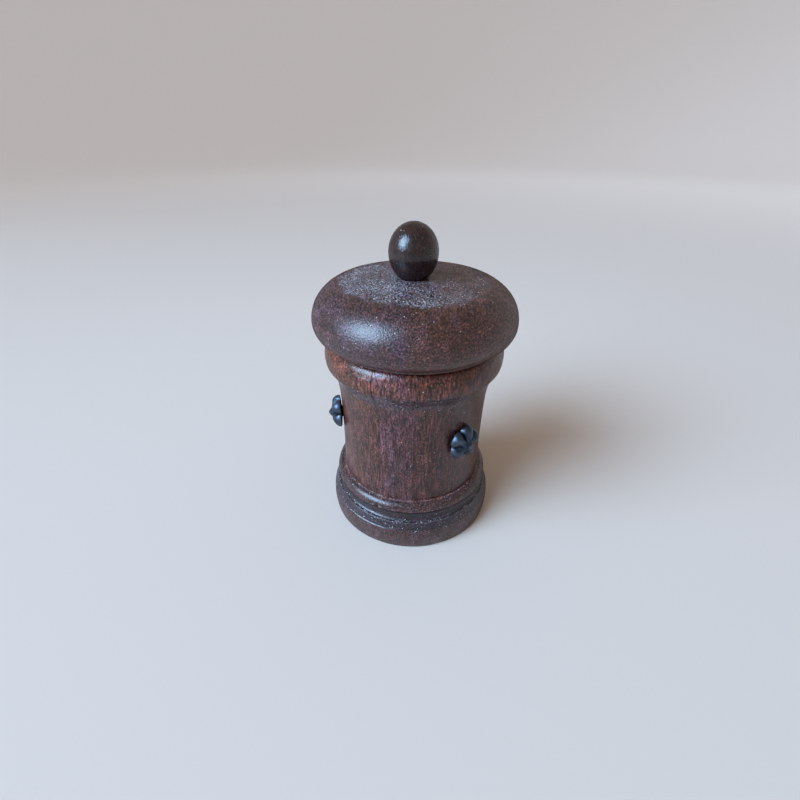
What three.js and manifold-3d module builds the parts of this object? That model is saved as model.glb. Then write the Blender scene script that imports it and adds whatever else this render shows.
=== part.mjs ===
// A lidded wooden jar: staves glued into a tube and turned, a moulded base, a bun lid with a ball knob,
// and three hand forged iron studs. Millimetres, +Z up, the front towards -Y.
// The origin is the centre of the underside of the base.
import * as THREE from 'three';
import { mergeVertices } from 'three/addons/utils/BufferGeometryUtils.js';
import Module from 'manifold-3d';

const wasm = await Module();
wasm.setup();

// Driving dimensions
const FOOT_RADIUS = 57;
const SHOULDER_HEIGHT = 34.8;
const WAIST_RADIUS = 47.4;
const RIM_HEIGHT = 131;
const LID_RADIUS = 61.4;
const LID_WIDEST_HEIGHT = 143;
const LID_ARRIS_RADIUS = 46.2;
const LID_ARRIS_HEIGHT = 163.5;
const LID_CROWN = 165.6;
const KNOB_CENTRE = 179.5;
const KNOB_RADIUS = 14.3;
const KNOB_UPPER_HALF = 16.3;
const KNOB_LOWER_HALF = 17.1;
const KNOB_SIDE_OFFSET = -1.4;
const CAVITY_RADIUS = 38.5;
const FLOOR_HEIGHT = 12;
const GAP = 0.3;

// The stave ring
const STAVES = 14;
const FIRST_SEAM_DEG = 2;
const STAVE_STEPS = 4;
const SEAM_GAP_DEG = 0.4;
const RING_STEPS = STAVES * STAVE_STEPS;
const TONGUE_RADIUS = 44;
const TONGUE_BOTTOM = 22;

// The lid's spigot and the knob's tenon
const SPIGOT_RADIUS = 37.8;
const SPIGOT_DEPTH = 8.5;
const TENON_RADIUS = 5;
const TENON_LENGTH = 14;

// The studs
const STUD_AZIMUTHS_DEG = [-80, 40, 160];
const STUD_HEIGHT = 76;
const STUD_HEAD_RADIUS = 11.5;
const STUD_DOME = 9;
const STUD_PETALS = 5;
const PETAL_NOTCH = 0.16;
const PETAL_DIP = 0.25;
const SHANK_SIDE = 3;
const SHANK_TIP_SIDE = 1.6;
const SHANK_LENGTH = 7.6;
const SHANK_ROOT = 0.4;

const DEGREE = Math.PI / 180;

function point(radius, height) {
  return new THREE.Vector2(radius, height);
}

// Points along a quarter or other stretch of an ellipse, its angles counted from the outward direction.
function arc(centreRadius, centreHeight, halfWidth, halfHeight, startDeg, endDeg, steps) {
  const points = [];
  for (let i = 0; i <= steps; i += 1) {
    const angle = (startDeg + ((endDeg - startDeg) * i) / steps) * DEGREE;
    const radius = centreRadius + halfWidth * Math.cos(angle);
    const height = centreHeight + halfHeight * Math.sin(angle);
    points.push(point(radius, height));
  }
  return points;
}

// Turns a geometry into a closed solid whose neighbouring faces share their corners.
function solid(geometry) {
  const bare = geometry.clone();
  bare.deleteAttribute('normal');
  bare.deleteAttribute('uv');
  const merged = mergeVertices(bare, 1e-4);
  return new wasm.Manifold(new wasm.Mesh({
    numProp: 3,
    vertProperties: new Float32Array(merged.attributes.position.array),
    triVerts: new Uint32Array(merged.index.array),
  }));
}

function geometryOf(manifold) {
  const mesh = manifold.getMesh();
  const geometry = new THREE.BufferGeometry();
  geometry.setAttribute('position', new THREE.BufferAttribute(new Float32Array(mesh.vertProperties), 3));
  geometry.setIndex(new THREE.BufferAttribute(new Uint32Array(mesh.triVerts), 1));
  geometry.computeVertexNormals();
  return geometry;
}

// Turned pieces: a profile of (radius, height) that starts and ends on the axis, spun about Z.
function turned(profile, steps) {
  return new THREE.LatheGeometry(profile, steps).rotateX(Math.PI / 2);
}

function named(name, geometry, material) {
  const mesh = new THREE.Mesh(geometry, material);
  mesh.name = name;
  return mesh;
}

function wood(color, roughness) {
  return new THREE.MeshStandardMaterial({ color, roughness, metalness: 0 });
}

// The base: a turned disc with a bored well that takes the tongues of the staves.
// From the bottom up: foot band, bevel, cove and ovolo.
function baseProfile() {
  const bevelTop = point(54.2, 20.2);
  const ovoloHeight = 29.5;
  const wellRadius = TONGUE_RADIUS + GAP;
  const wellBottom = TONGUE_BOTTOM - GAP;
  return [
    point(0, 0),
    point(FOOT_RADIUS - 1.2, 0),
    point(FOOT_RADIUS - 0.2, 1),
    point(FOOT_RADIUS + 0.5, 7.5),
    point(FOOT_RADIUS, 14),
    point(FOOT_RADIUS - 0.9, 15.2),
    bevelTop,
    ...arc(53.6, 24.7, 2.1, 4.2, -110, -250, 6),
    ...arc(48.6, ovoloHeight, 4.8, SHOULDER_HEIGHT - ovoloHeight, 0, 80, 5),
    point(wellRadius, SHOULDER_HEIGHT),
    point(wellRadius, wellBottom),
    point(CAVITY_RADIUS, wellBottom),
    point(CAVITY_RADIUS, FLOOR_HEIGHT + 2),
    point(CAVITY_RADIUS - 2, FLOOR_HEIGHT),
    point(0, FLOOR_HEIGHT),
  ];
}

// One stave in section: tongue, shoulder, waisted shaft, cove, half round collar and flat rim.
// It runs up the outside and down the straight bore.
function staveProfile() {
  const bottom = SHOULDER_HEIGHT + GAP;
  return [
    point(CAVITY_RADIUS, TONGUE_BOTTOM),
    point(TONGUE_RADIUS, TONGUE_BOTTOM),
    point(TONGUE_RADIUS, bottom),
    point(48.3, bottom),
    point(47.9, 42),
    point(WAIST_RADIUS, 64),
    point(47.8, 91),
    point(48.6, 100),
    ...arc(54.6, 103.2, 5.4, 8.2, 155, 115, 3),
    ...arc(50.6, 120.4, 5.2, 10.4, -30, 74, 6),
    point(50.4, RIM_HEIGHT),
    point(CAVITY_RADIUS + 0.8, RIM_HEIGHT),
    point(CAVITY_RADIUS, RIM_HEIGHT - 0.8),
  ];
}

// A stave lies between two radial glue faces; its section is spun only over its own share of the ring.
function staveSolid(index) {
  const share = 360 / STAVES;
  const start = (FIRST_SEAM_DEG + index * share + SEAM_GAP_DEG / 2) * DEGREE;
  const sweep = (share - SEAM_GAP_DEG) * DEGREE;
  const profile = staveProfile();
  const closed = [...profile, profile[0]];
  const stave = new THREE.LatheGeometry(closed, STAVE_STEPS, start, sweep);
  const faceTriangles = THREE.ShapeUtils.triangulateShape(profile, []);
  const lastColumn = STAVE_STEPS * closed.length;
  const startFace = faceTriangles.flat();
  const endFace = faceTriangles.flatMap(([a, b, c]) => [c + lastColumn, b + lastColumn, a + lastColumn]);
  stave.setIndex([...stave.index.array, ...startFace, ...endFace]);
  return solid(stave.rotateX(Math.PI / 2));
}

// The lid: a fat bun with a small lip at its foot, an arris round its slightly crowned top, and a spigot
// that drops in the mouth. The bun's outline is two stretches of ellipse that meet where it is widest.
function lidProfile() {
  const seat = RIM_HEIGHT + GAP;
  const spigotEnd = seat - SPIGOT_DEPTH;
  const spigotEase = 1.2;
  const widest = LID_WIDEST_HEIGHT;
  const lowerWidth = 10;
  const lowerHeight = 10.6;
  const upperWidth = 23.4;
  const upperHeight = 21.8;
  return [
    point(0, spigotEnd),
    point(SPIGOT_RADIUS - spigotEase, spigotEnd),
    point(SPIGOT_RADIUS, spigotEnd + spigotEase),
    point(SPIGOT_RADIUS, seat),
    point(53.6, seat),
    point(54.4, seat + 0.5),
    point(54.4, seat + 1.8),
    ...arc(LID_RADIUS - lowerWidth, widest, lowerWidth, lowerHeight, -60, -12, 4),
    ...arc(LID_RADIUS - upperWidth, widest, upperWidth, upperHeight, 0, 66, 6),
    point(LID_ARRIS_RADIUS, LID_ARRIS_HEIGHT),
    point(34, LID_CROWN - 1.1),
    point(18, LID_CROWN - 0.3),
    point(0, LID_CROWN),
  ];
}

// The lid's blank, bored for the knob's tenon.
function lidSolid() {
  const holeDepth = TENON_LENGTH + 1;
  const holeRadius = TENON_RADIUS + GAP;
  const hole = new THREE.CylinderGeometry(holeRadius, holeRadius, 2 * holeDepth, 24);
  hole.rotateX(Math.PI / 2).translate(KNOB_SIDE_OFFSET, 0, LID_CROWN);
  return solid(turned(lidProfile(), RING_STEPS)).subtract(solid(hole));
}

// The knob: a slightly egg shaped ball that stands on its flat foot, with a tenon that is glued into the lid.
function knobProfile() {
  const foot = LID_CROWN + GAP;
  const footRadius = 8;
  const tenonEnd = LID_CROWN - TENON_LENGTH;
  const tenonEase = 0.8;
  return [
    point(0, tenonEnd),
    point(TENON_RADIUS - tenonEase, tenonEnd),
    point(TENON_RADIUS, tenonEnd + tenonEase),
    point(TENON_RADIUS, foot),
    point(footRadius, foot),
    ...arc(0, KNOB_CENTRE, KNOB_RADIUS, KNOB_LOWER_HALF, -50, -10, 4),
    ...arc(0, KNOB_CENTRE, KNOB_RADIUS, KNOB_UPPER_HALF, 0, 78, 6),
    point(0, KNOB_CENTRE + KNOB_UPPER_HALF),
  ];
}

// A stud's head: a low dome hammered into round petals about a small point, its flat back at x = 0.
function studHead() {
  const rim = STUD_HEAD_RADIUS;
  const profile = [
    point(0, 0),
    point(rim * 0.93, 0),
    point(rim, 1.1),
    point(rim * 0.97, 2.6),
    point(rim * 0.82, 4.8),
    point(rim * 0.55, 6.3),
    point(rim * 0.28, 7),
    point(rim * 0.12, 8),
    point(0, STUD_DOME),
  ];
  const head = new THREE.LatheGeometry(profile, STUD_PETALS * 8);
  const position = head.attributes.position;
  for (let i = 0; i < position.count; i += 1) {
    const x = position.getX(i);
    const z = position.getZ(i);
    const reach = Math.hypot(x, z) / rim;
    const valley = 1 - Math.sqrt(Math.abs(Math.cos((STUD_PETALS * Math.atan2(x, z)) / 2)));
    const inward = 1 - PETAL_NOTCH * valley * reach * reach;
    position.setX(i, x * inward);
    position.setZ(i, z * inward);
    position.setY(i, position.getY(i) * (1 - PETAL_DIP * valley * reach));
  }
  return head.rotateZ(-Math.PI / 2);
}

// A square bar along x that tapers from the head towards its point, which lies inside the wood.
function taperedBar(side, tipSide, length) {
  const bar = new THREE.CylinderGeometry(side / Math.SQRT2, tipSide / Math.SQRT2, length, 4, 1);
  return bar.rotateY(Math.PI / 4).translate(0, -length / 2, 0).rotateZ(-Math.PI / 2);
}

// Places a stud's own frame, with x pointing out of the wall, at its azimuth from the front.
function studPlace(azimuthDeg) {
  const outward = WAIST_RADIUS + 2.5 * GAP;
  const turn = new THREE.Matrix4().makeRotationZ((azimuthDeg - 90) * DEGREE);
  const move = new THREE.Matrix4().makeTranslation(outward, 0, STUD_HEIGHT);
  return turn.multiply(move);
}

const shank = taperedBar(SHANK_SIDE, SHANK_TIP_SIDE, SHANK_LENGTH).translate(SHANK_ROOT, 0, 0);
const studGeometry = geometryOf(solid(studHead()).add(solid(shank)));

// The square hole for a stud's shank: a little larger all round, open outside and just deeper than the point.
function shankHole(azimuthDeg) {
  const loose = 2 * GAP;
  const start = SHANK_ROOT + 2;
  const hole = taperedBar(SHANK_SIDE + loose, SHANK_TIP_SIDE + loose, SHANK_LENGTH + 3);
  return solid(hole.translate(start, 0, 0).applyMatrix4(studPlace(azimuthDeg)));
}

const shankHoles = STUD_AZIMUTHS_DEG.map(shankHole);
const jar = new THREE.Group();

const baseWood = wood('#3a211b', 0.5);
jar.add(named('base', geometryOf(solid(turned(baseProfile(), RING_STEPS))), baseWood));

const staveTones = ['#4a2a20', '#3c2320', '#452820'];
for (let index = 0; index < STAVES; index += 1) {
  let blank = staveSolid(index);
  for (const hole of shankHoles) {
    blank = blank.subtract(hole);
  }
  const name = `stave_${String(index + 1).padStart(2, '0')}`;
  jar.add(named(name, geometryOf(blank), wood(staveTones[index % staveTones.length], 0.45)));
}

jar.add(named('lid', geometryOf(lidSolid()), wood('#3b2320', 0.45)));

const knob = named('knob', geometryOf(solid(turned(knobProfile(), 36))), wood('#2b1512', 0.4));
knob.position.x = KNOB_SIDE_OFFSET;
jar.add(knob);

const iron = new THREE.MeshStandardMaterial({ color: '#1c2228', roughness: 0.45, metalness: 0.85 });
['stud_left', 'stud_right', 'stud_back'].forEach((name, index) => {
  const stud = named(name, studGeometry.clone(), iron);
  stud.applyMatrix4(studPlace(STUD_AZIMUTHS_DEG[index]));
  jar.add(stud);
});

export default jar;
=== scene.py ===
import math
import random

import bmesh
import bpy
import numpy as np
from mathutils import Matrix, Vector, noise


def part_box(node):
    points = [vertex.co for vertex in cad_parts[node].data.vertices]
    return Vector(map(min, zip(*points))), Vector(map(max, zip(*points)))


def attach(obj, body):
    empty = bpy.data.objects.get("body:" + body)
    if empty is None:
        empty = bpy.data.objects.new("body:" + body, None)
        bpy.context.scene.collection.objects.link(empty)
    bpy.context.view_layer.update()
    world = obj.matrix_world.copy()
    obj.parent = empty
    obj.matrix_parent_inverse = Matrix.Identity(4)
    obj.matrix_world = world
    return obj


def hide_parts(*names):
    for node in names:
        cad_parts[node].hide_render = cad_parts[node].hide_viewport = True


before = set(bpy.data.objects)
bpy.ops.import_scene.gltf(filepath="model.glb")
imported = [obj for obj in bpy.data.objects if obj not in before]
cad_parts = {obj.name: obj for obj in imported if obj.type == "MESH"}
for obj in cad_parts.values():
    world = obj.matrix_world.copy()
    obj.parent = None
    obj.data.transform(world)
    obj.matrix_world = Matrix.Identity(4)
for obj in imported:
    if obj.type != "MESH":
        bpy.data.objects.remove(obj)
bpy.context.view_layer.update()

# BASE
# One disc of dark stained hardwood, turned with a foot band, a bevel, a cove and an ovolo.
# A stepped well bored from above takes the lower ends of the staves; what is left is the jar's floor.
MM = 0.001
base_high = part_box("base")[1]
foot_radius = base_high.x / MM
shoulder_height = base_high.z / MM
rim_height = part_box("stave_01")[1].z / MM
well_radius = 44.3
well_bottom = 21.7
bore_radius = 38.5
floor_height = 12.0
eased_corner = 0.3


def arc(centre_radius, centre_height, half_width, half_height, start, end, steps):
    """Points of an ellipse in (radius, height), with angles in degrees from the outward direction."""
    points = []
    for step in range(steps + 1):
        angle = math.radians(start + (end - start) * step / steps)
        radius = centre_radius + half_width * math.cos(angle)
        height = centre_height + half_height * math.sin(angle)
        points.append((radius, height))
    return points


def turn(outline, steps, sharp=20.0, closed=False):
    """Spins an outline in millimetres about the jar's axis and eases each ring that turns a sharp corner."""
    bm = bmesh.new()
    verts = [bm.verts.new((radius * MM, 0, height * MM)) for radius, height in outline]
    edges = [bm.edges.new(pair) for pair in zip(verts, verts[1:])]
    if closed:
        edges.append(bm.edges.new((verts[-1], verts[0])))
    bmesh.ops.spin(
        bm, geom=verts + edges, cent=(0, 0, 0), axis=(0, 0, 1), angle=math.tau, steps=steps, use_merge=True
    )
    bmesh.ops.remove_doubles(bm, verts=bm.verts, dist=0.001 * MM)
    bmesh.ops.recalc_face_normals(bm, faces=bm.faces)
    corners = [edge for edge in bm.edges if edge.calc_face_angle(0) > math.radians(sharp)]
    bmesh.ops.bevel(
        bm, geom=corners, offset=eased_corner * MM, segments=2, profile=0.5, affect="EDGES", material=-1,
        clamp_overlap=True,
    )
    return bm


def smoothed(bm, name):
    """Gives back a bmesh as a fine mesh, smoothed with two levels of subdivision surface."""
    mesh = bpy.data.meshes.new(name)
    bm.to_mesh(mesh)
    bm.free()
    coarse = bpy.data.objects.new(name, mesh)
    bpy.context.scene.collection.objects.link(coarse)
    smoother = coarse.modifiers.new("smoother", "SUBSURF")
    smoother.levels = 2
    smoother.render_levels = 2
    fine = bpy.data.meshes.new_from_object(coarse.evaluated_get(bpy.context.evaluated_depsgraph_get()))
    bpy.data.objects.remove(coarse)
    return fine


def points_of(mesh, what="co"):
    """The places (or normals) of a mesh's points, one row each."""
    flat = np.empty(len(mesh.vertices) * 3, np.float32)
    mesh.vertices.foreach_get(what, flat)
    return flat.reshape(-1, 3)


def put_points(mesh, places):
    """Moves a mesh's points to new places, one row each."""
    mesh.vertices.foreach_set("co", np.ascontiguousarray(places, np.float32).ravel())
    mesh.update()


def hand_turned(mesh, ripple, wander, seed):
    """Leaves the slight unevenness of handwork: long shallow waves and a finer ripple, in millimetres."""
    wave_length = 26
    ripple_length = 7
    places = points_of(mesh)
    shift = Vector((seed * 3.1, seed * 1.7, seed * 2.3))
    flow = []
    for place in map(Vector, (places / MM).tolist()):
        wave = noise.noise(place / wave_length + shift) * wander
        flow.append(wave + noise.noise(place / ripple_length + shift) * ripple)
    put_points(mesh, places + points_of(mesh, "normal") * np.array(flow)[:, None] * MM)


def knock(mesh, azimuth, height, across, depth, tall):
    """Presses an uneven dent into the outside, in millimetres, at an azimuth in degrees right of the front.
    Its height is tall times its width."""
    places = points_of(mesh) / MM
    turned = math.radians(azimuth)
    heading = np.array([math.sin(turned), -math.cos(turned), 0])
    outward = places @ heading
    sideways = places @ np.array([math.cos(turned), math.sin(turned), 0])
    reach = np.hypot(sideways, (places[:, 2] - height) / tall) / (across / 2)
    pressed = np.where(outward > bore_radius + 4, depth * np.clip(1 - reach ** 2, 0, 1) ** 1.5, 0)
    for index in np.flatnonzero(pressed):
        pressed[index] *= 1 + 0.6 * noise.noise(Vector(places[index].tolist()) * 0.9)
    put_points(mesh, (places - heading * pressed[:, None]) * MM)


def mark(mesh, what, values):
    """Stores one number for each point of a mesh, for its material to read."""
    attribute = mesh.attributes.new(what, "FLOAT", "POINT")
    attribute.data.foreach_set("value", np.zeros(len(mesh.vertices), np.float32) + values)


def mark_curvature(mesh):
    """Stores how sharply each point stands out as an edge (over 0) or lies in a hollow (under 0), in 1/mm."""
    count = len(mesh.vertices)
    places = points_of(mesh) / MM
    normals = points_of(mesh, "normal")
    pairs = np.empty(len(mesh.edges) * 2, np.int32)
    mesh.edges.foreach_get("vertices", pairs)
    first, second = pairs.reshape(-1, 2).T
    along = places[second] - places[first]
    length = np.maximum(np.linalg.norm(along, axis=1), 0.05)
    bend = np.einsum("ij,ij->i", normals[second] - normals[first], along) / length ** 2
    weight = np.bincount(first, length, count) + np.bincount(second, length, count)
    edge_curvature = (np.bincount(first, bend * length, count) + np.bincount(second, bend * length, count)) / weight
    edge_curvature = np.clip(edge_curvature, -1, 1)
    neighbours = np.bincount(first, minlength=count) + np.bincount(second, minlength=count)
    for _ in range(2):
        around = np.bincount(first, edge_curvature[second], count) + np.bincount(second, edge_curvature[first], count)
        edge_curvature = 0.5 * edge_curvature + 0.5 * around / neighbours
    mark(mesh, "edge_curvature", edge_curvature)


def mark_board(mesh, tone, light, shift, dust_and_painted_light):
    """Stores each point's redness, lightness and grain start, from its board and from any painted light or
    shade, and how much grey covers it: dusty, and in places painted light.
    """
    for what, values in (("tone", tone), ("light", light), ("shift", shift), ("dust_and_painted_light", dust_and_painted_light)):
        mark(mesh, what, values)


def ramp(values, low, high):
    """How far values have gone from low to high, eased at both ends."""
    share_gone = np.clip((values - low) / (high - low), 0, 1)
    return share_gone ** 2 * (3 - 2 * share_gone)


def piece(mesh, name, material, body, stands_for):
    """Puts a finished mesh into the scene as a piece that rides on its body and stands for its CAD node."""
    mesh.name = name
    mesh.shade_smooth()
    mesh.set_sharp_from_angle(angle=math.radians(45))
    mesh.materials.clear()
    mesh.materials.append(material)
    made = bpy.data.objects.new(name, mesh)
    bpy.context.scene.collection.objects.link(made)
    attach(made, body)
    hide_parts(stands_for)


def paint(hex_colour):
    """An sRGB hex colour as the linear colour that a shader takes."""
    channels = [int(hex_colour[place:place + 2], 16) / 255 for place in (1, 3, 5)]
    linear = [value / 12.92 if value <= 0.04045 else ((value + 0.055) / 1.055) ** 2.4 for value in channels]
    return (*linear, 1.0)


def add(tree, kind, inputs=(), output=None, stops=(), **settings):
    """Adds one node with its settings, sets or links its inputs, and gives back its named or first output.
    The inputs are a dict by name, or a tuple in the order of the node's sockets."""
    made = tree.nodes.new(kind)
    for setting, value in settings.items():
        setattr(made, setting, value)
    for place, (position, colour) in enumerate(stops):
        element = made.color_ramp.elements[place] if place < 2 else made.color_ramp.elements.new(position)
        element.position = position
        element.color = colour
    open_inputs = [socket for socket in made.inputs if socket.enabled]
    named = {socket.name: socket for socket in reversed(open_inputs)}
    pairs = inputs.items() if isinstance(inputs, dict) else enumerate(inputs)
    for key, value in pairs:
        socket = named[key] if isinstance(key, str) else open_inputs[key]
        if isinstance(value, bpy.types.NodeSocket):
            tree.links.new(value, socket)
        else:
            socket.default_value = value
    given = [socket for socket in made.outputs if socket.enabled and output in (None, socket.name)]
    return given[0] if given else made


# The grey of dust, also used for painted sheen and painted highlight lines.
GREY_OF_DUST_AND_PAINTED_LIGHT = paint("#908f99")
PALE_SPECK = paint("#c9c4c2")
# The near black of grime in pores, also used as painted shade in hollows.
GRIME_AND_SHADE = paint("#120b0a")
BARE_WOOD = paint("#7d5b45")
# Nearly all values of a noise pattern lie between these two.
FAINT = 0.3
STRONG = 0.7


def dark_hardwood(name, purple, red, rubbed_and_highlight, grain_turned, gloss, wax):
    """Turned hardwood, dark stained and waxed, whose grain runs along Z once it is turned by grain_turned.
    Fibres, pores, flecks, grit and specks are really 0.1 to 0.4 mm wide. They are drawn 0.8 to 0.95 mm wide,
    which is as coarse as they need to be to show in the render."""
    material = bpy.data.materials.new(name)
    material.use_nodes = True
    tree = material.node_tree
    tree.nodes.clear()
    place = add(tree, "ShaderNodeTexCoord", output="Object")
    edge_curvature = add(tree, "ShaderNodeAttribute", output="Fac", attribute_name="edge_curvature")
    tone = add(tree, "ShaderNodeAttribute", output="Fac", attribute_name="tone")
    light = add(tree, "ShaderNodeAttribute", output="Fac", attribute_name="light")
    shift = add(tree, "ShaderNodeAttribute", output="Vector", attribute_name="shift")
    dust_and_painted_light = add(tree, "ShaderNodeAttribute", output="Fac", attribute_name="dust_and_painted_light")
    turned_place = add(tree, "ShaderNodeMapping", {"Vector": place, "Rotation": grain_turned})
    board_place = add(tree, "ShaderNodeVectorMath", (turned_place, shift), operation="ADD")

    # The marks on the wood: their width and length in millimetres, how fine and how wavy each is.
    marks = {}
    for mark_name, space, wide, long, detail, wavy in (
        ("bands", board_place, 5.0, 90, 4.0, 0.8),
        ("fibres", board_place, 0.9, 9, 2.0, 0.0),
        ("pores", board_place, 0.8, 4.5, 1.0, 0.0),
        ("flecks", board_place, 0.95, 1.4, 1.0, 0.0),
        ("mottle", place, 8, 12, 4.0, 0.5),
        ("rubbing", place, 2.5, 4, 4.0, 0.0),
        ("smears", place, 7, 12, 5.0, 0.3),
        ("drifts", place, 12, 12, 5.0, 0.0),
        ("grit", place, 0.95, 0.95, 0.0, 0.0),
        ("specks", place, 0.9, 0.9, 0.0, 0.0),
    ):
        size = (1 / (wide * MM), 1 / (wide * MM), 1 / (long * MM))
        stretched = add(tree, "ShaderNodeMapping", {"Vector": space, "Scale": size})
        marks[mark_name] = add(
            tree, "ShaderNodeTexNoise",
            {"Vector": stretched, "Scale": 1.0, "Detail": detail, "Distortion": wavy},
        )

    # The stain took unevenly: from board to board, in soft patches, and in small flecks.
    patches = add(tree, "ShaderNodeMapRange", (marks["mottle"], FAINT, STRONG, -0.35, 0.35))
    flecked = add(tree, "ShaderNodeMapRange", (marks["flecks"], FAINT, STRONG, -0.1, 0.1))
    redness = add(tree, "ShaderNodeMath", (tone, patches), operation="ADD")
    redness = add(tree, "ShaderNodeMath", (redness, flecked), operation="ADD", use_clamp=True)
    colour = add(tree, "ShaderNodeMix", (redness, paint(purple), paint(red)), data_type="RGBA")
    for mark_name, at_faint, at_strong in (
        ("bands", 0.65, 1.4), ("fibres", 0.15, 2.1), ("flecks", 0.3, 1.85), ("mottle", 1.35, 0.6),
    ):
        shade = add(tree, "ShaderNodeMapRange", (marks[mark_name], FAINT, STRONG, at_faint, at_strong))
        light = add(tree, "ShaderNodeMath", (light, shade), operation="MULTIPLY")
    colour = add(tree, "ShaderNodeVectorMath", {0: colour, "Scale": light}, operation="SCALE")
    pores = add(tree, "ShaderNodeMapRange", (marks["pores"], 0.41, 0.34, 0.0, 0.9))
    colour = add(tree, "ShaderNodeMix", (pores, colour, GRIME_AND_SHADE), data_type="RGBA")

    # Handling has rubbed the arrises bare here and there, and the pale colour there is also a painted
    # highlight.
    # Grime has caked in the hollows, which are also darkened as painted shade.
    edges = add(tree, "ShaderNodeMapRange", (edge_curvature, 0.1, 0.3, 0.0, 1.0))
    rubbing = add(tree, "ShaderNodeMapRange", (marks["rubbing"], 0.33, 0.53, 0.0, 0.85))
    rubbed_and_painted_highlight = add(tree, "ShaderNodeMath", (edges, rubbing), operation="MULTIPLY")
    # Painted highlight as well as wear: the pale colour is laid on sharp edges.
    colour = add(tree, "ShaderNodeMix", (rubbed_and_painted_highlight, colour, paint(rubbed_and_highlight)), data_type="RGBA")
    # Painted shade as well as grime: the hollows are darkened toward near black.
    caked_grime_and_painted_shade = add(tree, "ShaderNodeMapRange", (edge_curvature, -0.02, -0.14, 0.0, 0.85))
    colour = add(tree, "ShaderNodeMix", (caked_grime_and_painted_shade, colour, GRIME_AND_SHADE), data_type="RGBA")

    # Inside, within the bore and between the floor and the rim, the wood was never stained.
    across = add(tree, "ShaderNodeMapping", {"Vector": place, "Scale": (1, 1, 0)})
    out = add(tree, "ShaderNodeVectorMath", (across,), operation="LENGTH")
    up = add(tree, "ShaderNodeSeparateXYZ", (place,), output="Z")
    inside = 1.0
    for distance, stained, unstained in (
        (out, bore_radius + 0.4, bore_radius + 0.2),
        (up, floor_height - 0.8, floor_height - 0.6),
        (up, rim_height + 0.2, rim_height + 0.1),
    ):
        limit = add(tree, "ShaderNodeMapRange", (distance, stained * MM, unstained * MM, 0.0, 1.0))
        inside = add(tree, "ShaderNodeMath", (inside, limit), operation="MULTIPLY")
    bare = add(tree, "ShaderNodeVectorMath", {0: BARE_WOOD[:3], "Scale": light}, operation="SCALE")
    colour = add(tree, "ShaderNodeMix", (inside, colour, bare), data_type="RGBA")

    # Grey dust lies in drifts and grains where the mesh says so, with a few pale specks among it.
    # Where the mesh paints a highlight line or a sheen, the same grey and specks stand for that painted
    # light.
    drifts = add(tree, "ShaderNodeMapRange", (marks["drifts"], 0.36, 0.6, 0.6, 1.0))
    lying = add(tree, "ShaderNodeMath", (dust_and_painted_light, drifts), operation="MULTIPLY")
    grains = add(tree, "ShaderNodeMapRange", (marks["grit"], 0.47, 0.57, 0.0, 1.0))
    painted_light_and_dust_cover = add(tree, "ShaderNodeMath", (lying, 1.6), operation="POWER")
    painted_light_and_dust_cover = add(tree, "ShaderNodeMath", (painted_light_and_dust_cover, grains), operation="MULTIPLY", use_clamp=True)
    colour = add(tree, "ShaderNodeMix", (painted_light_and_dust_cover, colour, GREY_OF_DUST_AND_PAINTED_LIGHT), data_type="RGBA")
    crumbs = add(tree, "ShaderNodeMath", (lying, 0.5), operation="POWER")
    crumbs = add(tree, "ShaderNodeMath", (crumbs, 0.17, marks["specks"]), operation="MULTIPLY_ADD")
    crumbs = add(tree, "ShaderNodeMapRange", (crumbs, 0.83, 0.87, 0.0, 0.9))
    colour = add(tree, "ShaderNodeMix", (crumbs, colour, PALE_SPECK), data_type="RGBA")

    # Smears of wax change the gloss; redder boards, dust and bare wood are rougher.
    rough = add(tree, "ShaderNodeMapRange", (marks["smears"], FAINT, STRONG, gloss - 0.07, gloss + 0.1))
    for cause, extra in ((tone, 0.12), (painted_light_and_dust_cover, 0.4), (inside, 0.3)):
        rough = add(tree, "ShaderNodeMath", (cause, extra, rough), operation="MULTIPLY_ADD")

    # Each mark's strength and depth in millimetres, and whether it is sunk, as pores are.
    relief = add(tree, "ShaderNodeBump", {"Height": marks["bands"], "Strength": 0.5, "Distance": 0.15 * MM})
    for height, strength, depth, sunk in (
        (marks["fibres"], 0.8, 0.2, False), (marks["flecks"], 0.9, 0.32, False),
        (marks["smears"], 0.6, 0.5, False), (pores, 0.8, 0.12, True),
    ):
        relief = add(
            tree, "ShaderNodeBump",
            {"Height": height, "Strength": strength, "Distance": depth * MM, "Normal": relief},
            invert=sunk,
        )

    # The wax fills the grain, so its film is smoother than the wood under it. Worn wax throws back less
    # at a low angle than a polished film would, so its weight falls off there.
    film = add(tree, "ShaderNodeBump", {"Height": marks["flecks"], "Strength": 0.8, "Distance": 0.17 * MM})
    facing = add(tree, "ShaderNodeLayerWeight", {"Blend": 0.5}, output="Facing")
    wax_left = add(tree, "ShaderNodeMapRange", (facing, 0.4, 0.85, wax, 0.1 * wax))
    wood = add(
        tree, "ShaderNodeBsdfPrincipled",
        {"Base Color": colour, "Roughness": rough, "Normal": relief, "IOR": 1.24, "Coat Weight": wax_left,
         "Coat Roughness": 0.65 * gloss, "Coat Normal": film},
    )
    add(tree, "ShaderNodeOutputMaterial", {"Surface": wood})
    return material


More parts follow.
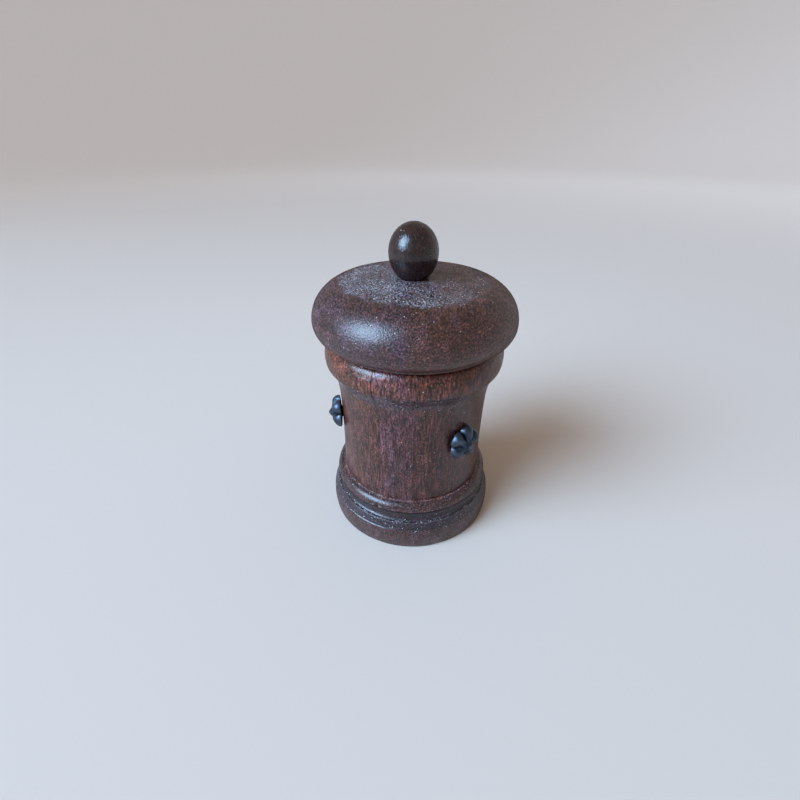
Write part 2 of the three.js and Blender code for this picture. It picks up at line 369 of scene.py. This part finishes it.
cove_radius = 53.6
cove_height = 24.7
ovolo_radius = 48.6
ovolo_height = 29.5
ovolo_bulge = 4.8
base_outline = [
    (0, 0), (28, 0), (foot_radius - 1.9, 0),
    *arc(foot_radius - 5.5, 7.6, 5.5, 14, -31, 31, 6),
    (foot_radius - 1.4, 15.4),
    (foot_radius - 3.3, 20.2),
    *arc(cove_radius, cove_height, 2.4, 4.4, -104, -256, 12),
    (ovolo_radius + ovolo_bulge, ovolo_height - 0.2),
    *arc(ovolo_radius, ovolo_height, ovolo_bulge, shoulder_height - ovolo_height, 8, 80, 8),
    (well_radius, shoulder_height), (well_radius, well_bottom), (bore_radius, well_bottom),
    (bore_radius, floor_height + 2), (bore_radius - 2, floor_height), (18, floor_height), (0, floor_height),
]
base_mesh = smoothed(turn(base_outline, 84), "turned_base")
hand_turned(base_mesh, ripple=0.05, wander=0.14, seed=1)
# A chip in the top of the foot band at the front, and two knocks on the ovolo.
knock(base_mesh, azimuth=3, height=15.2, across=9, depth=0.7, tall=0.35)
knock(base_mesh, azimuth=-24.5, height=30, across=3.2, depth=1.1, tall=1.3)
knock(base_mesh, azimuth=58, height=31, across=8, depth=0.9, tall=0.6)
base_places = points_of(base_mesh)
base_places[:, 2] = np.maximum(base_places[:, 2], 0)
put_points(base_mesh, base_places)
mark_curvature(base_mesh)

# Dust lies on what faces up, most of all below the cove. The bevel and the cove are painted darker as shade,
# and the ledge round the shaft's foot and the ovolo's lower edge are painted highlights, pale lines of
# lighter wood and grey.
base_upward = points_of(base_mesh, "normal")[:, 2]
base_out = np.hypot(base_places[:, 0], base_places[:, 1]) / MM
base_heights = base_places[:, 2] / MM
below_cove = base_heights < 21.5
base_dust = 0.24 * ramp(base_upward, 0.15, 0.5) * below_cove
base_dust += 0.15 * ramp(base_upward, 0.3, 0.9)
# Painted shade: the bevel and the cove are made darker and more purple.
bevel_and_cove_painted_shade = ramp(base_heights, 14.6, 15.8) * ramp(base_heights, 29.2, 28.6)
# Painted highlights: pale lines at the shaft's foot and along the ovolo's lower edge.
ledge_painted_highlight = ramp(base_upward, 0.95, 0.99) * ramp(base_out, 49.5, 49.0)
ovolo_edge_painted_highlight = ramp(base_heights, 28.8, 29.1) * ramp(base_heights, 30.1, 29.6)
base_painted_highlights = ledge_painted_highlight + 0.6 * ovolo_edge_painted_highlight
mark_board(
    base_mesh,
    tone=0.65 + 0.1 * base_painted_highlights - 0.5 * bevel_and_cove_painted_shade,
    light=1.2 + 2.2 * base_painted_highlights - 0.55 * bevel_and_cove_painted_shade,
    shift=0.31,
    dust_and_painted_light=base_dust + 0.5 * base_painted_highlights,
)
# Stain and old wax: a dull satin purple brown, with pale corners that are worn and painted as highlights,
# dust in its mouldings, and painted shade in its cove.
base_wood = dark_hardwood(
    "dark_stained_base_hardwood", purple="#2f212c", red="#432820", rubbed_and_highlight="#b3a29c",
    grain_turned=(math.radians(90), 0, math.radians(20)), gloss=0.36, wax=0.9,
)
piece(base_mesh, "turned_base", base_wood, "jar", "base")

# STAVES
# Boards of dark stained hardwood with bevelled edges, glued edge to edge into a tube and turned as one:
# a waisted shaft, a cove and a half round collar. Their lower ends are a tongue let into the base's well.
STAVES = 14
stave_angle = 360 / STAVES
first_seam = 2.0
glue_line = 0.08
seam_arris = 0.4
seam_sink = 0.09
tongue_radius = 44.0
tongue_bottom = 22.0
stave_outline = [
    (bore_radius, tongue_bottom), (tongue_radius, tongue_bottom), (tongue_radius, shoulder_height + 0.3),
    (48.3, shoulder_height + 0.3), (48.05, 38), (47.85, 43), (47.55, 52), (47.4, 64), (47.5, 78), (47.8, 91),
    (48.3, 98), (49.0, 102.5), (50.0, 106.5), (51.4, 109.8), (53.0, 112.6), (54.3, 115),
    *arc(50.6, 120.4, 5.2, 10.4, -27, 74, 12),
    (50.4, rim_height), (bore_radius + 0.8, rim_height), (bore_radius, rim_height - 0.8), (bore_radius, 75),
]
ring_mesh = smoothed(turn(stave_outline, 6 * STAVES, closed=True), "stave_ring")
hand_turned(ring_mesh, ripple=0.05, wander=0.12, seed=2)
# A scar low on the shaft, a little right of the front.
knock(ring_mesh, azimuth=11, height=52, across=5.5, depth=0.5, tall=0.5)
mark_curvature(ring_mesh)

# Dust lies on the collar's upper face outside the lid. A thin grey-blue sheen is painted in the cove under
# the collar, in the dust's grey.
ring_places = points_of(ring_mesh) / MM
ring_heights = ring_places[:, 2]
ring_out = np.hypot(ring_places[:, 0], ring_places[:, 1])
ring_dust_and_sheen = 0.4 * ramp(points_of(ring_mesh, "normal")[:, 2], 0.5, 1.0) * ramp(ring_out, 52.5, 54)
# Painted sheen: a thin grey-blue band in the cove under the collar.
ring_dust_and_sheen += 0.2 * ramp(ring_heights, 104, 109) * ramp(ring_heights, 118, 115)
mark(ring_mesh, "dust_and_painted_light", ring_dust_and_sheen)


def cut_stave(ring, index):
    """Cuts one stave from the glued ring, lets its outer edges sink a little and closes its glue faces."""
    bm = bmesh.new()
    bm.from_mesh(ring)
    sides = []
    for seam, way in ((first_seam + index * stave_angle, 1), (first_seam + (index + 1) * stave_angle, -1)):
        heading = math.radians(seam)
        inward = Vector((math.cos(heading), math.sin(heading), 0)) * way
        edge = inward * glue_line * MM / 2
        bmesh.ops.bisect_plane(
            bm, geom=bm.verts[:] + bm.edges[:] + bm.faces[:], dist=1e-7, plane_co=edge, plane_no=inward,
            clear_inner=True,
        )
        bmesh.ops.bisect_plane(
            bm, geom=bm.verts[:] + bm.edges[:] + bm.faces[:], dist=1e-7,
            plane_co=edge + inward * seam_arris * MM, plane_no=inward,
        )
        sides.append((edge, inward))
    for edge, inward in sides:
        for vert in bm.verts:
            outside = vert.co.xy.length > tongue_radius * MM
            if outside and abs((vert.co - edge).dot(inward)) < 0.01 * MM:
                vert.co -= Vector((vert.co.x, vert.co.y, 0)).normalized() * seam_sink * MM
    rims = [edge for edge in bm.edges if edge.is_boundary]
    faces = bmesh.ops.holes_fill(bm, edges=rims, sides=0)["faces"]
    bmesh.ops.triangulate(bm, faces=faces, ngon_method="EAR_CLIP")
    bmesh.ops.recalc_face_normals(bm, faces=bm.faces)
    mesh = bpy.data.meshes.new("stave")
    bm.to_mesh(mesh)
    bm.free()
    return mesh


# How red and how light each board is, beginning right of the front: brown, grey brown, and so on round.
STAVE_BOARDS = (
    (0.7, 0.8), (0.7, 0.75), (0.6, 0.95), (0.8, 0.85), (0.3, 0.9), (0.6, 1.05), (0.9, 0.8),
    (0.4, 0.95), (0.7, 0.9), (0.2, 0.85), (0.65, 1.0), (0.8, 1.0), (0.8, 0.9), (0.35, 1.15),
)
# Stain over upright grain: warm brown, redder and painted lighter on the collar, with a satin sheen from
# years of wax.
stave_wood = dark_hardwood(
    "dark_stained_stave_hardwood", purple="#38232b", red="#4e281c", rubbed_and_highlight="#9a7768",
    grain_turned=(0, 0, 0), gloss=0.26, wax=0.75,
)
# The boards have moved a little since they were turned, mostly at the collar. One stands proud there.
proud_stave = 12
proud_step = 0.3
draw = random.Random(14)
for index, (tone, light) in enumerate(STAVE_BOARDS):
    stave_mesh = cut_stave(ring_mesh, index)
    middle = math.radians(first_seam + (index + 0.5) * stave_angle)
    outward = np.array([math.sin(middle), -math.cos(middle), 0])
    stave_places = points_of(stave_mesh) / MM
    heights = stave_places[:, 2]
    outside = (stave_places @ outward > tongue_radius) & (heights > shoulder_height)
    moved = draw.uniform(-0.05, 0.03) + draw.uniform(-0.12, 0.08) * ramp(heights, 108, 116)
    if index == proud_stave:
        moved += proud_step * ramp(heights, 111, 115) * ramp(heights, 126.5, 124)
    # Painted sheen: the cove under the collar is made greyer and more purple.
    hollow = ramp(heights, 105, 109) * ramp(heights, 117.5, 114.5)
    # The collar is redder wood, and it is also painted lighter to help its highlight.
    collar = ramp(heights, 115, 118)
    put_points(stave_mesh, (stave_places + outward * np.where(outside, moved, 0)[:, None]) * MM)
    mark(stave_mesh, "tone", tone - 0.5 * hollow + 0.25 * collar)
    mark(stave_mesh, "light", light * (1.1 + 0.3 * collar))
    mark(stave_mesh, "shift", 0.37 * index)
    number = f"{index + 1:02d}"
    piece(stave_mesh, f"turned_stave_{number}", stave_wood, "jar", f"stave_{number}")
bpy.data.meshes.remove(ring_mesh)

# STUDS
# Three forged iron nails with low rosette heads, hammered into petals about a small point.
# Each has a tapered shank driven into a stave at the waist; the flat back stands clear of the round wood.
STUDS = {"stud_left": -80, "stud_right": 40, "stud_back": 160}
stud_low, stud_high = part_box("stud_right")
stud_height = (stud_low.z + stud_high.z) / 2 / MM
stud_seat = 48.15
stud_rim = 11.4
stud_petals = 5
shank_radius = 1.5
shank_length = 7.2
hammer_blows = 16
blow_depth = 0.42


def forged_head(seed):
    """A head and its shank about their own Z: an outline spun and then dented as the hammer left it."""
    outline = [
        (0, 0), (shank_radius, 0), (stud_rim * 0.9, 0), (stud_rim, 0.9), (stud_rim * 0.99, 2.4),
        (stud_rim * 0.9, 4.7), (stud_rim * 0.72, 6.2), (stud_rim * 0.5, 6.7), (stud_rim * 0.27, 6.5),
        (stud_rim * 0.14, 8.2), (0, 8.8),
    ]
    bm = turn(outline, 40, sharp=70)
    core = [
        face for face in bm.faces
        if face.normal.z < -0.9 and face.calc_center_median().xy.length < shank_radius * MM
    ]
    grown = bmesh.ops.extrude_face_region(bm, geom=core)["geom"]
    tip = [part for part in grown if isinstance(part, bmesh.types.BMVert)]
    bmesh.ops.delete(bm, geom=core, context="FACES_ONLY")
    bmesh.ops.translate(bm, vec=(0, 0, -shank_length * MM), verts=tip)
    bmesh.ops.scale(bm, vec=(0.5, 0.5, 1), verts=tip)
    mesh = smoothed(bm, "forged_head")
    places = points_of(mesh) / MM
    reach = np.hypot(places[:, 0], places[:, 1]) / stud_rim
    around = np.arctan2(places[:, 1], places[:, 0])
    valley = 1 - np.sqrt(np.abs(np.cos(stud_petals * around / 2 + 0.25 * np.sin(around + seed))))
    on_head = (places[:, 2] > -0.2) & (reach > 0.02)
    # Between the petals the rim is drawn in by up to a quarter, and the face sinks by up to three quarters.
    places[:, :2] *= np.where(on_head, 1 - 0.26 * valley * reach ** 2, 1)[:, None]
    places[:, 2] *= np.where(on_head, 1 - 0.75 * valley ** 0.8 * ramp(reach, 0.1, 0.8), 1)
    draw_blows = random.Random(seed)
    for _ in range(hammer_blows):
        angle = draw_blows.uniform(0, math.tau)
        far = draw_blows.uniform(2.5, 9.5)
        size = draw_blows.uniform(2.4, 4.2)
        away = np.hypot(places[:, 0] - far * math.cos(angle), places[:, 1] - far * math.sin(angle)) / size
        flattened = blow_depth * np.clip(1 - away ** 2, 0, 1) ** 2
        places[:, 2] -= np.where(places[:, 2] > 0.8, flattened, 0)
    put_points(mesh, places * MM)
    return mesh


def forged_iron(name):
    """Blackened wrought iron, hammered hot: a blue black oxide skin, satin, rubbed bright on its high points.
    The skin's cloudy patches are about 2 mm across and its pits half a millimetre."""
    material = bpy.data.materials.new(name)
    material.use_nodes = True
    tree = material.node_tree
    tree.nodes.clear()
    place = add(tree, "ShaderNodeTexCoord", output="Object")
    skin = add(tree, "ShaderNodeTexNoise", {"Vector": place, "Scale": 1 / (2.2 * MM), "Detail": 6.0})
    pits = add(tree, "ShaderNodeTexNoise", {"Vector": place, "Scale": 1 / (0.5 * MM), "Detail": 3.0})
    colour = add(
        tree, "ShaderNodeValToRGB", {"Fac": skin},
        stops=((0.3, paint("#1d242c")), (0.75, paint("#4a4644")), (0.52, paint("#3a4656"))),
    )
    edge_curvature = add(tree, "ShaderNodeAttribute", output="Fac", attribute_name="edge_curvature")
    bright = add(tree, "ShaderNodeMapRange", (edge_curvature, 0.1, 0.6, 0.0, 0.7))
    colour = add(tree, "ShaderNodeMix", (bright, colour, paint("#8793a0")), data_type="RGBA")
    rough = add(tree, "ShaderNodeMapRange", (skin, FAINT, STRONG, 0.28, 0.5))
    relief = add(tree, "ShaderNodeBump", {"Height": skin, "Strength": 0.6, "Distance": 0.25 * MM})
    relief = add(
        tree, "ShaderNodeBump", {"Height": pits, "Strength": 0.4, "Distance": 0.06 * MM, "Normal": relief}
    )
    iron = add(
        tree, "ShaderNodeBsdfPrincipled",
        {"Base Color": colour, "Roughness": rough, "Normal": relief, "Metallic": 0.9},
    )
    add(tree, "ShaderNodeOutputMaterial", {"Surface": iron})
    return material


blackened_iron = forged_iron("blackened_forged_iron")
for number, (node_name, azimuth) in enumerate(STUDS.items()):
    stud_mesh = forged_head(number + 3)
    mark_curvature(stud_mesh)
    round_the_jar = Matrix.Rotation(math.radians(azimuth - 90), 4, "Z")
    on_the_shaft = Matrix.Translation((stud_seat * MM, 0, stud_height * MM))
    facing_out = Matrix.Rotation(math.radians(90), 4, "Y")
    as_it_fell = Matrix.Rotation(math.radians(25 * number), 4, "Z")
    stud_mesh.transform(round_the_jar @ on_the_shaft @ facing_out @ as_it_fell)
    piece(stud_mesh, f"forged_{node_name}", blackened_iron, "jar", node_name)

# LID
# One turned bun of dark stained hardwood, with a small lip at its foot and an arris round its crowned top.
# A spigot under it drops into the mouth of the staves, and it is bored for the knob's tenon.
lid_low, lid_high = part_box("lid")
lid_radius = lid_high.x / MM
lid_crown = lid_high.z / MM
lid_bottom = lid_low.z / MM
lid_arris = (46.2, 163.5)
lid_seat = rim_height + 0.3
widest = 143.0
spigot_radius = 37.8
lip_radius = 54.4
knob_offset = -1.4
tenon_hole_radius = 5.3
tenon_hole_depth = 15.0
lid_outline = [
    (0, lid_bottom), (20, lid_bottom), (spigot_radius - 1.2, lid_bottom),
    (spigot_radius, lid_bottom + 1.2), (spigot_radius, lid_seat), (lip_radius - 0.8, lid_seat),
    (lip_radius, lid_seat + 0.5), (lip_radius, lid_seat + 1.5),
    (lip_radius - 0.4, lid_seat + 2.1), (lip_radius + 0.5, lid_seat + 2.2),
    *arc(lid_radius - 10, widest, 10, 10.6, -60, -12, 5),
    *arc(lid_radius - 23.4, widest, 23.4, 21.8, 0, 66, 9),
    lid_arris, (41, lid_crown - 1.6), (34, lid_crown - 1.1), (26, lid_crown - 0.6), (18, lid_crown - 0.3),
    (11, lid_crown - 0.1), (tenon_hole_radius, lid_crown),
    (tenon_hole_radius, lid_crown - tenon_hole_depth), (0, lid_crown - tenon_hole_depth),
]
lid_mesh = smoothed(turn(lid_outline, 84), "turned_lid")
hand_turned(lid_mesh, ripple=0.07, wander=0.2, seed=3)
# The hole for the tenon was bored a little to the left of the middle.
lid_places = points_of(lid_mesh) / MM
lid_out = np.hypot(lid_places[:, 0], lid_places[:, 1])
round_the_hole = lid_places[:, 2] > lid_crown - tenon_hole_depth - 1
lid_places[:, 0] += np.where(round_the_hole, knob_offset * ramp(lid_out, 22, 8), 0)
lid_places[:, 2] = np.minimum(lid_places[:, 2], lid_crown)
put_points(lid_mesh, lid_places * MM)
mark_curvature(lid_mesh)

# The dust keeps inside the arris and is thickest at the front left. The wood turns redder a little left
# of the middle, as if two boards met there.
lid_upward = points_of(lid_mesh, "normal")[:, 2]
lid_out = np.hypot(lid_places[:, 0], lid_places[:, 1])
unevenness = np.array([noise.noise(place) for place in map(Vector, (lid_places / 9).tolist())])
lid_dust = 0.9 * ramp(lid_out + 3 * unevenness, 46.5, 41) * (lid_upward > 0.8)
lid_dust *= 1 - 0.65 * ramp(lid_places[:, 0] + 0.8 * lid_places[:, 1], -25, 25)
lid_dust += 0.01 * ramp(lid_upward, 0.2, 0.8)
redder_side = ramp(lid_places[:, 0], -5, -2)
mark_board(
    lid_mesh, tone=0.35 + 0.35 * redder_side, light=1.15 - 0.1 * redder_side, shift=1.9, dust_and_painted_light=lid_dust
)
# Stain and wax on flat grain: purple brown to red brown, with one broad soft sheen on the bun.
lid_wood = dark_hardwood(
    "dark_stained_lid_hardwood", purple="#35222b", red="#4a281c", rubbed_and_highlight="#7a5c52",
    grain_turned=(math.radians(90), 0, 0), gloss=0.46, wax=1.0,
)
piece(lid_mesh, "turned_lid", lid_wood, "lid", "lid")

# KNOB
# A slightly egg shaped ball of near black stained hardwood, polished by hands, on a small flat foot.
# Its round tenon is glued into the lid, a little to the left of the lid's centre.
knob_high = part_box("knob")[1].z / MM
knob_radius = 14.3
knob_upper_half = 16.3
knob_lower_half = 17.1
knob_centre = knob_high - knob_upper_half
knob_foot = lid_crown + 0.1
tenon_radius = 5.0
tenon_end = lid_crown - 14
knob_outline = [
    (0, tenon_end), (tenon_radius - 0.8, tenon_end), (tenon_radius, tenon_end + 0.8),
    (tenon_radius, knob_foot), (8, knob_foot),
    *arc(0, knob_centre, knob_radius, knob_lower_half, -52, -9, 5),
    *arc(0, knob_centre, knob_radius, knob_upper_half, 0, 81, 9),
    (0, knob_high),
]
knob_mesh = smoothed(turn(knob_outline, 48), "turned_knob")
hand_turned(knob_mesh, ripple=0.05, wander=0.12, seed=4)
knob_mesh.transform(Matrix.Translation((knob_offset * MM, 0, 0)))
mark_curvature(knob_mesh)
mark_board(knob_mesh, tone=0.5, light=0.9, shift=2.71, dust_and_painted_light=0.004)
# Nearly black from stain and hands, with one small bright highlight.
knob_wood = dark_hardwood(
    "near_black_knob_hardwood", purple="#150a0d", red="#30130f", rubbed_and_highlight="#5d4038",
    grain_turned=(0, 0, 0), gloss=0.24, wax=0.95,
)
piece(knob_mesh, "turned_knob", knob_wood, "lid", "knob")

# SURROUNDINGS
# A plain pale floor that sweeps up into a low round backdrop, one large soft lamp to the left and in front,
# and soft sky light.
sweep_outline = [(0, 0), (600, 0), (3200, 0), *arc(3200, 1500, 1500, 1500, -90, 0, 8), (4700, 2900)]
sweep_bm = turn(sweep_outline, 64, sharp=180)
bmesh.ops.reverse_faces(sweep_bm, faces=sweep_bm.faces)
sweep_mesh = bpy.data.meshes.new("pale_sweep")
sweep_bm.to_mesh(sweep_mesh)
sweep_bm.free()
sweep_mesh.shade_smooth()
sweep = bpy.data.objects.new("pale_sweep", sweep_mesh)
bpy.context.scene.collection.objects.link(sweep)
sweep_paint = bpy.data.materials.new("pale_matt_paint")
sweep_paint.use_nodes = True
sweep_tree = sweep_paint.node_tree
sweep_shader = sweep_tree.nodes["Principled BSDF"]
sweep_shader.inputs["Base Color"].default_value = paint("#e2d1c4")
sweep_shader.inputs["Roughness"].default_value = 0.7
# Seen straight, in gloss or through glass, the far paint is about as pale as the paint under the lamp.
# It lights nothing, so the jar and its shadow stay as the lamp and the sky make them.
far_glow = 0.42
sweep_place = add(sweep_tree, "ShaderNodeTexCoord", output="Object")
sweep_reach = add(sweep_tree, "ShaderNodeVectorMath", (sweep_place,), operation="LENGTH")
sweep_glow = add(
    sweep_tree, "ShaderNodeMapRange", (sweep_reach, 0.5, 2.6, 0.0, far_glow), interpolation_type="SMOOTHSTEP"
)
sweep_seen = 0.0
for ray_kind in ("Is Camera Ray", "Is Glossy Ray", "Is Transmission Ray"):
    ray = add(sweep_tree, "ShaderNodeLightPath", output=ray_kind)
    sweep_seen = add(sweep_tree, "ShaderNodeMath", (sweep_seen, ray), operation="ADD", use_clamp=True)
sweep_lift = add(sweep_tree, "ShaderNodeMath", (sweep_glow, sweep_seen), operation="MULTIPLY")
sweep_shader.inputs["Emission Color"].default_value = paint("#c3cfdc")
sweep_tree.links.new(sweep_lift, sweep_shader.inputs["Emission Strength"])
sweep_mesh.materials.append(sweep_paint)

sky = bpy.data.worlds.new("soft_sky")
sky.use_nodes = True
sky_light = sky.node_tree.nodes["Background"]
sky_light.inputs["Color"].default_value = (1.0, 0.93, 0.85, 1.0)
sky_light.inputs["Strength"].default_value = 0.36
bpy.context.scene.world = sky

# The lamp's spread is narrow, as through a grid, so the floor close to it doesn't clip to white.
lamp_place = Vector((-2.4, -1.5, 1.875))
lamp_aim = Vector((0, 0, 0.1))
lamp_data = bpy.data.lights.new("window_light", "AREA")
lamp_data.shape = "RECTANGLE"
lamp_data.size = 2.6
lamp_data.size_y = 3.0
lamp_data.energy = 54
lamp_data.color = (0.46, 0.7, 1.0)
lamp_data.spread = math.radians(60)
lamp = bpy.data.objects.new("window_light", lamp_data)
bpy.context.scene.collection.objects.link(lamp)
lamp.location = lamp_place
lamp.rotation_euler = (lamp_aim - lamp_place).to_track_quat("-Z", "Y").to_euler()
lamp.visible_camera = False

# The camera stands where the photograph was taken from: close in front, above the lid, looking down.
camera_distance = 0.3426
camera_height_angle = math.radians(44.31)
look_down = math.radians(32.82)
look_aside = math.radians(-1.98)
camera_roll = math.radians(0.37)
camera_data = bpy.data.cameras.new("photograph_view")
camera_data.sensor_width = 36.0
camera_data.lens = 19.23
camera_data.clip_start = 0.01
camera = bpy.data.objects.new("photograph_view", camera_data)
bpy.context.scene.collection.objects.link(camera)
ahead = Vector((
    math.sin(look_aside) * math.cos(look_down),
    math.cos(look_aside) * math.cos(look_down),
    -math.sin(look_down),
))
stand = Vector((0, -math.cos(camera_height_angle), math.sin(camera_height_angle))) * camera_distance
camera.matrix_world = (
    Matrix.Translation(stand) @ ahead.to_track_quat("-Z", "Y").to_matrix().to_4x4()
    @ Matrix.Rotation(camera_roll, 4, "Z")
)
bpy.context.scene.camera = camera
bpy.context.scene.view_settings.view_transform = "Standard"
